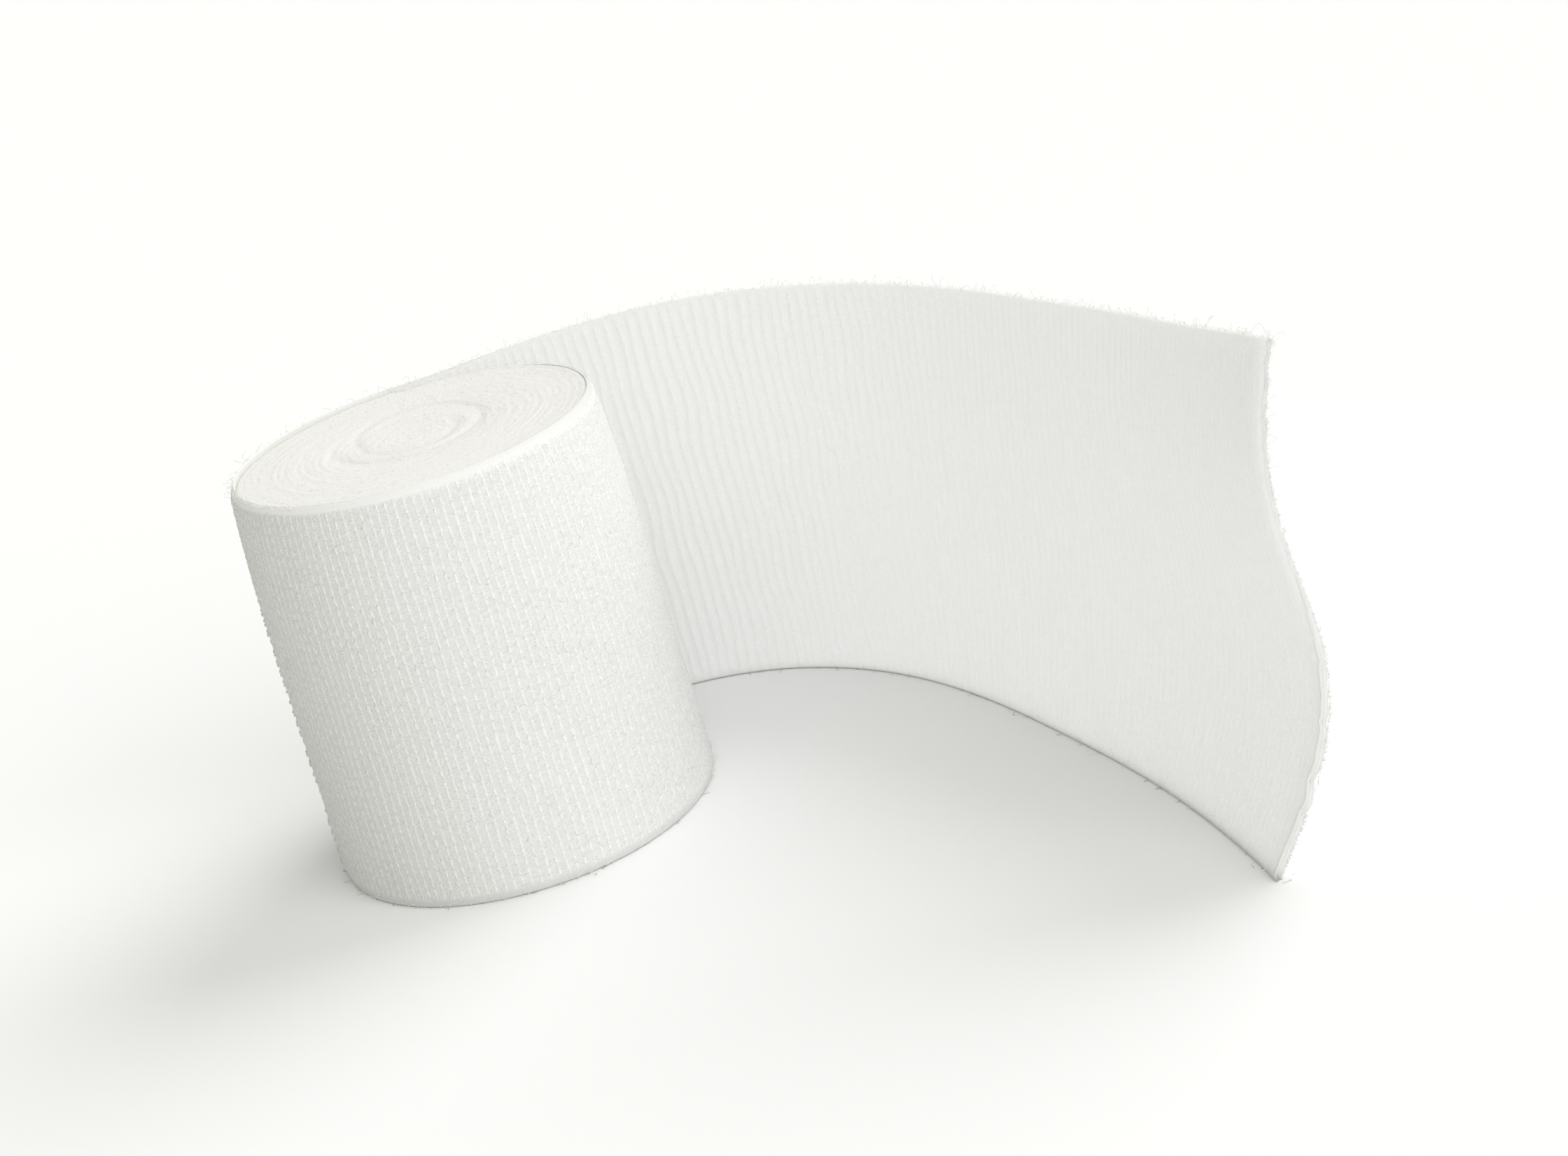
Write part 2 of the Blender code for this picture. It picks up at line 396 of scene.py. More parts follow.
def buildBrushGroup():
    # brushed fibre: strokes lying along the place's x, in mm, as a height and a 0 to 1 tint
    group = bpy.data.node_groups.new("brushedFibre", "ShaderNodeTree")
    group.interface.new_socket("place", in_out="INPUT", socket_type="NodeSocketVector")
    for label in ("lean", "strokeScale", "stretch", "grainScale", "grainShare"):
        group.interface.new_socket(label, in_out="INPUT", socket_type="NodeSocketFloat")
    for label in ("height", "tint"):
        group.interface.new_socket(label, in_out="OUTPUT", socket_type="NodeSocketFloat")
    inside, out = group.nodes.new("NodeGroupInput").outputs, group.nodes.new("NodeGroupOutput").inputs
    wander = addNode(group, "ShaderNodeTexNoise", {"Vector": inside["place"], "Scale": 0.8, "Detail": 1.0})
    centred = combine(group, "SUBTRACT", wander.outputs["Color"], (0.5, 0.5, 0.5))
    bent = combine(group, "ADD", inside["place"], scaleVector(group, centred, 0.7))
    squeeze = vectorOf(group, inside["stretch"], 1.0, 1.0)
    strokes = None
    for number, turn in enumerate((0.0, 0.35, -0.25)):
        angle = calculate(group, "ADD", inside["lean"], turn)
        leaned = addNode(group, "ShaderNodeVectorRotate", {
            "Vector": bent, "Angle": times(group, angle, -1.0)}, rotation_type="Z_AXIS")
        drawn = combine(group, "MULTIPLY", leaned.outputs[0], squeeze)
        moved = combine(group, "ADD", drawn, (7.3 * number, 3.1 * number, 0.0))
        scale = times(group, inside["strokeScale"], 1 + 0.2 * number)
        cells = addNode(group, "ShaderNodeTexVoronoi", {"Vector": moved, "Scale": scale})
        stroke = between(group, cells.outputs["Distance"], 0.62, 0.05)
        strokes = stroke if strokes is None else calculate(group, "MAXIMUM", strokes, stroke)
    fine = addNode(group, "ShaderNodeTexNoise", {
        "Vector": inside["place"], "Scale": inside["grainScale"], "Detail": 2.0, "Roughness": 0.55})
    both = calculate(group, "MULTIPLY_ADD", fine.outputs["Fac"], inside["grainShare"], strokes)
    group.links.new(both, out["height"])
    group.links.new(between(group, both, 0.25, 1.15), out["tint"])
    return group


brushGroup = buildBrushGroup()


def newFinish(name):
    finish = bpy.data.materials.new(name)
    finish.use_nodes = True
    shader = finish.node_tree.nodes["Principled BSDF"]
    shader.inputs["Roughness"].default_value = 0.95
    shader.inputs["Specular IOR Level"].default_value = 0.15
    shader.inputs["Sheen Weight"].default_value = 0.12
    shader.inputs["Sheen Roughness"].default_value = 0.6
    return finish, finish.node_tree, shader


def mixColours(tree, factor, first, second):
    node = addNode(tree, "ShaderNodeMix", {"Factor": factor}, data_type="RGBA")
    for socket, value in ((node.inputs[6], first), (node.inputs[7], second)):
        if isinstance(value, bpy.types.NodeSocket):
            tree.links.new(value, socket)
        else:
            socket.default_value = (*value, 1)
    return node.outputs[2]


def painted(tree, name, output="Fac"):
    return addNode(tree, "ShaderNodeAttribute", attribute_name=name).outputs[output]


def brushed(tree, sizes):
    brush = addNode(tree, "ShaderNodeGroup", node_tree=brushGroup)
    tree.links.new(painted(tree, "clothPlace", "Vector"), brush.inputs["place"])
    for label, value in sizes.items():
        brush.inputs[label].default_value = value
    return brush.outputs


def brokenNoise(tree, scale, low, high):
    # breaks a line along the cloth's width into dashes
    drawn = combine(tree, "MULTIPLY", painted(tree, "clothPlace", "Vector"), (2.0, 1.0, 1.0))
    noise = addNode(tree, "ShaderNodeTexNoise", {"Vector": drawn, "Scale": scale, "Detail": 2.0})
    return between(tree, noise.outputs["Fac"], low, high)


def addBump(tree, shader, height, depth, strength):
    bump = addNode(tree, "ShaderNodeBump", {"Height": height, "Distance": depth * mm, "Strength": strength})
    tree.links.new(bump.outputs[0], shader.inputs["Normal"])


woundLook = {
    "ground": (0.81, 0.812, 0.807),
    "crest": (0.88, 0.88, 0.879),
    "strand": (0.965, 0.965, 0.955),
    "strandShadow": (0.79, 0.795, 0.78),  # painted shadow to the left of each strand
    "shaded": (0.72, 0.73, 0.62),  # painted shade: a greener, darker tone towards the left
    "shadedShare": 0.36,
    "strandWidth": (0.20, 0.03),  # of a rib's pitch: where it begins to show, and where it is full
    "strandBreaks": (0.8, 0.36, 0.58),  # how fine its breaks are, and how much of it they leave
    "strandShadowPlace": 0.17,
    "strandShadowWidth": (0.15, 0.0),
    "strandShadowBreaks": (0.7, 0.30, 0.60),
    "bandPaintedLight": (0.97, 0.97, 0.96),  # smooth bands along the rims, painted light: this colour on the shaded left of the upper band
    # painted shade: this darker colour on the lit right of the upper band and all along the lower band
    "bandPaintedShade": (0.71, 0.715, 0.70),
    "inner": (0.70, 0.715, 0.675),  # painted shade on the side that shows above the end face
    "brush": {"lean": 0.22, "strokeScale": 3.2, "stretch": 0.30, "grainScale": 7.0, "grainShare": 0.45},
    "bump": (0.16, 0.65),  # depth in mm, and strength
    "strandBump": 0.25,
    "hollowBump": -0.12,
}


def woundClothFinish():
    # ribbed cloth of the outer turn: brushed across its ribs, with a pale strand along each, and with shade
    # and light painted in as marked below
    look = woundLook
    finish, tree, shader = newFinish("ribbed cloth wound")
    brush = brushed(tree, look["brush"])
    ribbed, rib, shadedLeft = [painted(tree, name) for name in ("reliefShare", "rib", "shadedLeft")]
    body = mixColours(tree, brush["tint"], look["ground"], look["crest"])
    # painted shade: the wall turns to the shaded colour towards its left side
    shade = times(tree, calculate(tree, "POWER", shadedLeft, 3.0), look["shadedShare"])
    body = mixColours(tree, shade, body, look["shaded"])
    line = between(tree, calculate(tree, "PINGPONG", rib, 0.5), *look["strandWidth"])
    # the pale strands are the cloth's own; towards the left they are also drawn unbroken, a painted highlight
    # of raised strands catching the light
    broken = calculate(tree, "MULTIPLY_ADD", shadedLeft, 0.75, brokenNoise(tree, *look["strandBreaks"]))
    shown = times(tree, line, calculate(tree, "MINIMUM", broken, 1.0))
    shown = times(tree, shown, ribbed)
    colour = mixColours(tree, shown, body, look["strand"])
    # painted shadow beside each strand, broken like the strand, with a small dip in the bump along it
    fromStrandShadow = calculate(tree, "PINGPONG", calculate(tree, "ADD", rib, look["strandShadowPlace"]), 0.5)
    strandShadowMask = between(tree, fromStrandShadow, *look["strandShadowWidth"])
    sunk = times(tree, strandShadowMask, brokenNoise(tree, *look["strandShadowBreaks"]))
    sunk = times(tree, sunk, ribbed)
    colour = mixColours(tree, sunk, colour, look["strandShadow"])
    # painted light and shade on the rim bands, by side and height
    band = mixColours(tree, painted(tree, "bandShadeShare"), look["bandPaintedLight"], look["bandPaintedShade"])
    colour = mixColours(tree, ribbed, band, colour)
    # painted shade on the side that shows above the end face
    colour = mixColours(tree, painted(tree, "innerSide"), colour, look["inner"])
    tree.links.new(colour, shader.inputs["Base Color"])
    height = times(tree, brush["height"], calculate(tree, "MULTIPLY_ADD", ribbed, 0.7, 0.3))
    height = calculate(tree, "MULTIPLY_ADD", shown, look["strandBump"], height)
    height = calculate(tree, "MULTIPLY_ADD", sunk, look["hollowBump"], height)
    addBump(tree, shader, height, *look["bump"])
    return finish


looseLook = {
    "ground": (0.90, 0.90, 0.899),
    "crest": (0.93, 0.93, 0.93),
    "strand": (0.995, 0.995, 0.992),
    "strandBreaks": (0.9, 0.30, 0.50),
    "margin": (0.85, 0.865, 0.815),  # painted shade: greener and darker along the selvedge edges and over the cut end
    "brush": {"lean": 0.3, "strokeScale": 3.4, "stretch": 0.7, "grainScale": 8.0, "grainShare": 0.6},
    "bump": (0.10, 0.6),
    "lightShare": 0.72,  # how much of the light wanders inside the cloth
    "lightDepth": 12.0,  # and how far, in mm
}


def looseClothFinish():
    # smooth fine ground with pale broken strands, painted shade along the edges and over the cut end, and
    # light that comes through from behind
    look = looseLook
    finish, tree, shader = newFinish("ribbed cloth loose")
    brush = brushed(tree, look["brush"])
    body = mixColours(tree, brush["tint"], look["ground"], look["crest"])
    shown = times(tree, brokenNoise(tree, *look["strandBreaks"]), painted(tree, "strand"))
    colour = mixColours(tree, shown, body, look["strand"])
    # painted shade along the edges and over the cut end
    colour = mixColours(tree, painted(tree, "margin"), colour, look["margin"])
    tree.links.new(colour, shader.inputs["Base Color"])
    addBump(tree, shader, brush["height"], *look["bump"])
    shader.inputs["Subsurface Weight"].default_value = look["lightShare"]
    shader.inputs["Subsurface Radius"].default_value = (1.0, 1.0, 1.0)
    shader.inputs["Subsurface Scale"].default_value = look["lightDepth"] * mm
    return finish


endLook = {
    "light": (0.895, 0.885, 0.86),
    "dark": (0.865, 0.853, 0.82),
    # painted shade: the colour between the turns, in the core's groove and beside the rim
    "groove": (0.80, 0.80, 0.785),
    "speck": (0.80, 0.68, 0.48),  # a few straw specks near the core
    "speckScale": 330.0,
    "speckSize": (0.14, 0.04),
    "speckRare": (0.78, 0.80),  # higher shows fewer
    "speckReach": (0.016, 0.012),  # metres from the axis: none beyond the first, all within the second
    "brush": {"lean": 0.0, "strokeScale": 3.0, "stretch": 1.0, "grainScale": 7.0, "grainShare": 0.6},
    "bump": (0.10, 0.32),
}


def endFinish():
    # edges of the wound turns: cream matted fibre, with shade painted between the turns, in the core's groove
    # and beside the rim
    look = endLook
    finish, tree, shader = newFinish("wound edges")
    brush = brushed(tree, look["brush"])
    body = mixColours(tree, brush["tint"], look["dark"], look["light"])
    # painted shade from the end face's mask, which also carries some random tone
    colour = mixColours(tree, painted(tree, "toneAndShade"), look["groove"], body)
    place = addNode(tree, "ShaderNodeTexCoord").outputs["Object"]
    cells = addNode(tree, "ShaderNodeTexVoronoi", {"Vector": place, "Scale": look["speckScale"]})
    near = between(tree, cells.outputs["Distance"], *look["speckSize"])
    picked = addNode(tree, "ShaderNodeSeparateColor", {"Color": cells.outputs["Color"]}).outputs[0]
    flat = combine(tree, "MULTIPLY", place, (1.0, 1.0, 0.0))
    fromAxis = addNode(tree, "ShaderNodeVectorMath", {0: flat}, operation="LENGTH").outputs["Value"]
    speck = times(tree, near, between(tree, picked, *look["speckRare"]))
    speck = times(tree, speck, between(tree, fromAxis, *look["speckReach"]))
    colour = mixColours(tree, speck, colour, look["speck"])
    tree.links.new(colour, shader.inputs["Base Color"])
    addBump(tree, shader, brush["height"], *look["bump"])
    return finish


yarnLook = {  # colour, and scale of the speckle in it
    "rib yarn": ((0.965, 0.965, 0.955), 900.0),
    "nap fibre": ((0.895, 0.897, 0.885), 900.0),
    "tuft yarn": ((0.83, 0.835, 0.82), 900.0),
    "edge fibre": ((0.95, 0.94, 0.915), 900.0),
    "stray fibre": ((0.87, 0.88, 0.85), 400.0),
    "edge fuzz": ((0.975, 0.98, 0.95), 400.0),
}


def yarnFinish(name, colour, scale):
    finish, tree, shader = newFinish(name)
    place = addNode(tree, "ShaderNodeTexCoord").outputs["Object"]
    speckle = addNode(tree, "ShaderNodeTexNoise", {"Vector": place, "Scale": scale, "Detail": 2.0})
    darker = tuple(0.93 * part for part in colour)
    tree.links.new(mixColours(tree, speckle.outputs["Fac"], darker, colour), shader.inputs["Base Color"])
    return finish


rollFinish = woundClothFinish()
looseFinish = looseClothFinish()
woundFinish = endFinish()
yarnFinishes = {name: yarnFinish(name, *look) for name, look in yarnLook.items()}
print("finishes made")

outerTurn = {
    "thickness": 1.1,
    "columnsPerRib": 4,
    "rows": 150,
    "topBand": 1.4,  # smooth woven edge
    "lowerBand": 1.6,
    "bandSoft": 0.3,  # how gradually the ribs begin beside it
    "bandSwell": 0.03,
    "topLean": 0.8,  # how far the band turns inwards, over its last part
    "leanHeight": 1.7,
    "endSink": 0.75,  # how far the turn's end sinks in among the wound ones
    "sinkFrom": 0.80,  # of the turn
    "dullAngle": 20,  # the side turned to the lamps: the upper band is painted darker here, and the wall's painted shade is strongest opposite
    "wander": 0.10,  # of a rib's pitch
    "ribSwell": 0.06,  # how far the cloth puffs between two ribs
    "tuft": 0.22,  # how far it stands out at a stitch's tuft
    "matHeight": 0.10,
    "matScale": 0.9,
    "matStretch": 0.7,
    "seed": 4.0,
}
stitching = {"period": 2.1, "seed": 12}
ribPhase = np.random.default_rng(stitching["seed"]).uniform(0, 1, 200)
edgeTurn = np.radians([30, 60, 90, 120, 150])  # round the cloth's edge from one side to the other
puckering = {
    "pillowPower": 0.8,  # lower is flatter between two ribs
    "ribPower": 1.5,  # higher is narrower
    "pitPower": 4.0,
    "tuftPower": 2.0,
    "tuftPlace": 0.72,  # of a stitch's period, on from its pit
    "pitDepth": -0.35,  # where a tuft's height is 1
}


def reliefTree():
    # pushes cloth out between its ribs, pits and tufts it at the stitches, and roughens the nap
    tree, inside, out = newGeometryTree(
        "clothRelief", lengths=["ribSwell", "tuft", "matHeight"], factors=["matScale", "matStretch", "seed"])

    def hump(turns, shift, sharpness):
        wave = times(tree, calculate(tree, "SUBTRACT", turns, shift), 2 * math.pi)
        wave = calculate(tree, "MAXIMUM", calculate(tree, "COSINE", wave), 0.0)
        return calculate(tree, "POWER", wave, sharpness)

    ribs, stitches, share = [stored(tree, name) for name in ("rib", "stitch", "reliefShare")]
    outward, place = [stored(tree, name, "FLOAT_VECTOR") for name in ("outward", "clothPlace")]
    arch = calculate(tree, "SINE", times(tree, calculate(tree, "FRACT", ribs), math.pi))
    pillow = calculate(tree, "POWER", calculate(tree, "MAXIMUM", arch, 0.0), puckering["pillowPower"])
    onRib = hump(ribs, 0.0, puckering["ribPower"])
    pit = times(tree, onRib, hump(stitches, 0.0, puckering["pitPower"]))
    tuft = times(tree, onRib, hump(stitches, puckering["tuftPlace"], puckering["tuftPower"]))
    drawn = vectorOf(tree, inside["matStretch"], 1.0, 1.0)
    noise = addNode(tree, "ShaderNodeTexNoise", {
        "Vector": combine(tree, "MULTIPLY", place, drawn), "W": inside["seed"], "Scale": inside["matScale"],
        "Detail": 2.0, "Roughness": 0.6, "Distortion": 0.4}, noise_dimensions="4D").outputs["Fac"]
    mat = times(tree, calculate(tree, "SUBTRACT", noise, 0.5), 2.0)
    matLift = times(tree, mat, inside["matHeight"])
    lift = calculate(tree, "MULTIPLY_ADD", pillow, inside["ribSwell"], matLift)
    puckered = calculate(tree, "MULTIPLY_ADD", pit, puckering["pitDepth"], tuft)
    lift = calculate(tree, "MULTIPLY_ADD", puckered, inside["tuft"], lift)
    offset = scaleVector(tree, outward, times(tree, lift, share))
    finishTree(tree, shifted(tree, inside["Geometry"], offset), inside, out)
    return tree


# from and to these shares of each size
napSpread = {"swing": (-1.0, 1.0), "lift": (-0.3, 1.0), "width": (0.6, 1.4), "length": (0.5, 1.5)}


def napTree():
    # strews short spindles of fibre over a surface, lying along its flow with one end lifted
    tree, inside, out = newGeometryTree(
        "nap", lengths=["length", "width"], factors=["density", "lean", "spread", "lift"], counts=["seed"])
    seed = inside["seed"]
    density = times(tree, stored(tree, "reliefShare"), inside["density"])
    strewn = addNode(tree, "GeometryNodeDistributePointsOnFaces", {
        "Mesh": inside["Geometry"], "Density": density, "Seed": seed})
    outward, flow = [stored(tree, name, "FLOAT_VECTOR") for name in ("outward", "flow")]
    across = combine(tree, "CROSS_PRODUCT", outward, flow)
    swing, more = [chance(tree, seed, step, *napSpread["swing"]) for step in (1, 2)]
    swing = calculate(tree, "ADD", swing, more)
    slope = calculate(tree, "MULTIPLY_ADD", swing, inside["spread"], inside["lean"])
    lift = times(tree, chance(tree, seed, 3, *napSpread["lift"]), inside["lift"])
    aim = combine(tree, "ADD", flow, scaleVector(tree, across, slope))
    aim = combine(tree, "ADD", aim, scaleVector(tree, outward, lift))
    fibre = addNode(tree, "GeometryNodeMeshUVSphere", {"Segments": 3, "Rings": 2, "Radius": 0.5})
    wide = times(tree, inside["width"], chance(tree, seed, 4, *napSpread["width"]))
    long = times(tree, inside["length"], chance(tree, seed, 5, *napSpread["length"]))
    laid = addNode(tree, "GeometryNodeInstanceOnPoints", {
        "Points": strewn.outputs[0], "Instance": fibre.outputs[0], "Rotation": turnedTo(tree, aim),
        "Scale": vectorOf(tree, wide, wide, long)})
    finishTree(tree, laid.outputs[0], inside, out)
    return tree


def makeNap(name, ground, finish, sizes):
    # nap over a finished piece, as a piece of its own
    holder = bpy.data.objects.new(name + "Ground", ground.data.copy())
    bpy.context.scene.collection.objects.link(holder)
    return grow(holder, nap, sizes | {"density": sizes["density"] / mm ** 2}, yarnFinishes[finish], name)


def rollWander(share, height):
    return outerTurn["wander"] * softNoise(share * 40, height / 9, 3)


def makeOuterTurn():
    sizes, width, half = outerTurn, winding["clothWidth"], outerTurn["thickness"] / 2
    columns = winding["ribCount"] * sizes["columnsPerRib"] + 1
    outside = np.linspace(half, width - half, sizes["rows"])
    inside = np.array([width - half, 76.0, 60.0, 20.0, 4.0, half])
    # section round the cloth: up the outside, over the top edge, down the inside, under the lower edge
    height = np.concatenate([
        outside, width - half + half * np.sin(edgeTurn), inside, half - half * np.sin(edgeTurn)])
    out = np.concatenate([
        0 * outside, half * np.cos(edgeTurn) - half, 0 * inside - 2 * half, -half - half * np.cos(edgeTurn)])
    leaning = np.clip((outside - width + half) / sizes["leanHeight"] + 1, 0, 1) ** 2
    leaning = np.concatenate([leaning, (1 + np.cos(edgeTurn)) / 2, 0 * inside, 0 * edgeTurn])
    blank = np.zeros(len(height) - len(outside))
    topBand, lowerBand = sizes["topBand"], sizes["lowerBand"]
    soft = sizes["bandSoft"]
    ribbed = smoothStep(outside, lowerBand - soft, lowerBand + soft)
    ribbed = ribbed * smoothStep(width - outside, topBand - soft, topBand + soft)
    swell = np.concatenate([sizes["bandSwell"] * (1 - ribbed), blank])
    share = np.linspace(0, 1, columns)[:, None]
    held = np.clip(height, half, width - half)
    sunk = sizes["endSink"] * smoothStep(share, sizes["sinkFrom"], 1.0) * smoothStep(height, 70.0, width)
    leaning = sizes["topLean"] * leaning * smoothStep(share, 0.0, 0.04)
    points = rollPoint(share, wallRadius(held) + out + swell - leaning, height - sunk)
    angle = turnAngle(share) + 0 * height
    # 1 on the left, away from the lamps, where shade is painted onto the wall and light onto its upper band
    shadedLeft = 0.5 - 0.5 * np.cos(angle - math.radians(sizes["dullAngle"]))
    # painted shade in the recess above the end face: none where the end face comes up to the rim, and less
    # near the seam
    innerSide = smoothStep(-out, 0.5, 1.0) * smoothStep(height, 1.0, 3.0) * (1 - endRise(angle))
    innerSide = innerSide * (0.3 + 0.7 * smoothStep(share, 0.0, 0.12))
    rib = share * winding["ribCount"] + rollWander(share, height)
    stitch = height / stitching["period"] - ribPhase[np.round(rib).astype(int)]
    around = share * 2 * math.pi * 37.5
    faces = gridFaces(columns, len(height), wrapRows=True)
    faces.append(tuple(range(len(height)))[::-1])
    faces.append(tuple(len(height) * (columns - 1) + i for i in range(len(height))))
    # the bands' painted shade is full on the right and along the lower band, and gives way to painted light
    # on the upper band's left
    holder = meshFrom("outerTurnForm", points, faces, attributes={
        "rib": rib, "stitch": stitch, "reliefShare": np.concatenate([ribbed, blank]) + 0 * rib,
        "innerSide": innerSide, "shadedLeft": shadedLeft, "bandShadeShare": 1 - shadedLeft * smoothStep(height, 30, 50),
        "outward": outwardAt(angle), "flow": aroundAt(angle),
        "clothPlace": np.stack(np.broadcast_arrays(around, height, out), -1)})
    return grow(holder, relief, sizes, rollFinish, "outer_turn", sharpFrom=65)


relief = reliefTree()
nap = napTree()
outerTurnPiece = makeOuterTurn()
rollNap = {"density": 1.7, "length": 0.9, "width": 0.10, "lean": 0.2, "spread": 0.25, "lift": 0.14, "seed": 3}
rollNapPiece = makeNap("outer_turn_nap", outerTurnPiece, "nap fibre", rollNap)
print("outer turn wound and brushed")

rollStitch = {
    "length": 1.9,
    "width": 0.30,
    "height": 0.12,
    "clearBelow": 0.9,  # of the woven bands
    "clearAbove": 0.8,
    "below": 0.0,
    "proud": 0.03,
    "leftProud": 0.0,
    "leftTall": 0.0,
    "sink": 0.07,
    "sway": 0.08,
    "lean": -0.09,  # each stitch tips its lower end forward round the roll
    "missing": 0.10,
    "sides": 4,
    "seed": 11,
}
rollTuft = {
    "length": 1.1,
    "width": 0.55,
    "height": 0.64,
    "clearBelow": 0.7,
    "clearAbove": 0.0,
    "below": 0.85,  # from the middle of its stitch
    "proud": -0.16,
    "leftProud": 0.04,  # more on the left
    "leftTall": 0.95,
    "sink": 0.08,
    "sway": 0.10,
    "lean": -0.15,
    "missing": 0.25,
    "sides": 4,
    "seed": 37,
}
# where the tufts stand out, low on the left: degrees round from +X and to each side, and mm up the wall
leftFace = {"angle": 189, "reach": 8, "top": 62, "fade": 8}
stitchSpread = {  # from and to these shares of each size
    "sink": (-1.0, 0.5),
    "sway": (-1.0, 1.0),
    "lean": (-0.2, 2.2),
    "width": (0.7, 1.3),
    "length": (0.6, 1.15),
}


def stitchTree():
    # sets a short spindle of yarn at each point, each tipped, sunk and sized its own way
    tree, inside, out = newGeometryTree(
        "stitches", lengths=["length", "width", "height", "sink", "sway"], factors=["lean", "missing"],
        counts=["sides", "seed"])
    seed = inside["seed"]
    outward, upward = [stored(tree, name, "FLOAT_VECTOR") for name in ("outward", "upward")]
    sideways = combine(tree, "CROSS_PRODUCT", upward, outward)

    def varied(name, step):
        return times(tree, inside[name], chance(tree, seed, step, *stitchSpread[name]))

    sink, sway = varied("sink", 0), varied("sway", 7)
    shift = combine(tree, "ADD", scaleVector(tree, outward, sink), scaleVector(tree, sideways, sway))
    jogged = shifted(tree, inside["Geometry"], shift)
    points = addNode(tree, "GeometryNodeMeshToPoints", {"Mesh": jogged})
    stitch = addNode(tree, "GeometryNodeMeshUVSphere", {
        "Segments": inside["sides"], "Rings": 3, "Radius": 0.5})
    aim = combine(tree, "ADD", upward, scaleVector(tree, sideways, varied("lean", 29)))
    turned = addNode(tree, "FunctionNodeAlignRotationToVector", {
        "Rotation": turnedTo(tree, aim), "Vector": outward}, axis="X", pivot_axis="Z")
    height = times(tree, inside["height"], stored(tree, "tall"))
    size = vectorOf(tree, height, varied("width", 19), varied("length", 13))
    present = calculate(tree, "SUBTRACT", 1.0, inside["missing"])
    seen = addNode(tree, "FunctionNodeRandomValue", {
        "Probability": present, "Seed": seed}, data_type="BOOLEAN")
    laid = addNode(tree, "GeometryNodeInstanceOnPoints", {
        "Points": points.outputs[0], "Selection": seen.outputs[3], "Instance": stitch.outputs[0],
        "Rotation": turned.outputs[0], "Scale": size})
    finishTree(tree, laid.outputs[0], inside, out)
    return tree


def stitchPlaces(low, high):
    # rib number and height of every stitch between two heights
    period, ribs = stitching["period"], np.arange(winding["ribCount"])
    number = np.arange(-1, int(high / period) + 1)
    height = (number[None, :] + 0.5 + ribPhase[ribs][:, None]) * period
    rib = ribs[:, None] + 0.0 * height
    keep = (height > low) & (height < high)
    return rib[keep], height[keep]


def ribPlaces(rib, height):
    # how far round the roll a rib is at a height
    share = rib / winding["ribCount"]
    for _ in range(3):  # follow the ribs as they wander
        share = (rib - rollWander(share, height)) / winding["ribCount"]
    return np.clip(share, 0.001, 0.999)


def makeRollYarn(name, sizes, finish):
    low = outerTurn["lowerBand"] + sizes["below"] + sizes["clearBelow"]
    high = winding["clothWidth"] - outerTurn["topBand"] - sizes["clearAbove"]
    rib, height = stitchPlaces(low, high)
    height = height - sizes["below"]
    share = ribPlaces(rib, height)
    angle = turnAngle(share)
    left = np.exp(-((np.degrees(angle) - leftFace["angle"]) / leftFace["reach"]) ** 2)
    left *= 1 - smoothStep(height, leftFace["top"] - leftFace["fade"], leftFace["top"])
    places = rollPoint(share, wallRadius(height) + sizes["proud"] + sizes["leftProud"] * left, height)
    outward = outwardAt(angle)
    holder = meshFrom(name + "Places", places, attributes={
        "outward": outward, "upward": [0, 0, 1] + 0 * outward, "tall": 1 + sizes["leftTall"] * left})
    return grow(holder, stitches, sizes, yarnFinishes[finish], name)


stitches = stitchTree()
rollYarnPiece = makeRollYarn("outer_turn_stitches", rollStitch, "rib yarn")
rollTuftPiece = makeRollYarn("outer_turn_tufts", rollTuft, "tuft yarn")
print("outer turn stitched")

woundTurns = {
    "columns": 288,
    "rows": 118,
    "underRows": 22,
    "gap": 0.03,  # inside the outer turn
    # depth below the rim at distances in from the outer turn
    "inset": [0.0, 0.4, 1.0, 3.0, 10.0, 17.0, 21.5, 24.0, 32.0],
    "depth": [1.3, 1.15, 1.0, 0.90, 0.70, 0.75, 0.95, 0.90, 0.95],
    "joinDepth": 0.8,  # where the outer turn ends and the next one comes up
    "turnRise": 0.05,
    "turnUneven": 0.015,
    "matHeight": 0.10,
    "matScale": 1.3,
    "matStretch": 1.0,
    "seed": 9.0,
    "grooveDepth": 0.13,
    "grooveWidth": 1.1,
    # the softer core: its groove winds inwards as the angle grows
    "grooveAngle": [-225, -197, -160, -118, -73, -41, -14, 19, 44, 69,
                    86, 99, 114, 138, 169, 215, 270, 330, 389, 430],
    "grooveRadius": [17.0, 16.7, 14.2, 11.8, 12.4, 12.4, 12.5, 14.0, 15.0, 16.9,
                     18.9, 19.2, 18.3, 15.4, 10.4, 8.6, 8.0, 8.2, 8.8, 9.4],
}


def smoothed(values, reach):
    window = np.hanning(2 * reach + 1)
    longer = np.concatenate([[values[0]] * reach, values, [values[-1]] * reach])
    return np.convolve(longer, window / window.sum(), mode="valid")


def grooveAway(degrees, radius):
    # distance in mm from the core's groove, and how deep it is there, from 0 to 1
    angles = np.arange(woundTurns["grooveAngle"][0], woundTurns["grooveAngle"][-1])
    line = smoothed(np.interp(angles, woundTurns["grooveAngle"], woundTurns["grooveRadius"]), 12)
    away, deep = np.full(radius.shape, 99.0), np.zeros(radius.shape)
    for turn in (-360, 0, 360):
        along = degrees % 360 + turn
        distance = np.abs(radius - np.interp(along, angles, line))
        closer = (along > angles[0]) & (along < angles[-1]) & (distance < away)
        away = np.where(closer, distance, away)
        fade = np.clip((along - angles[0]) / 40, 0, 1) * np.clip((angles[-1] - along) / 60, 0, 1)
        deep = np.where(closer, fade, deep)
    return away, deep


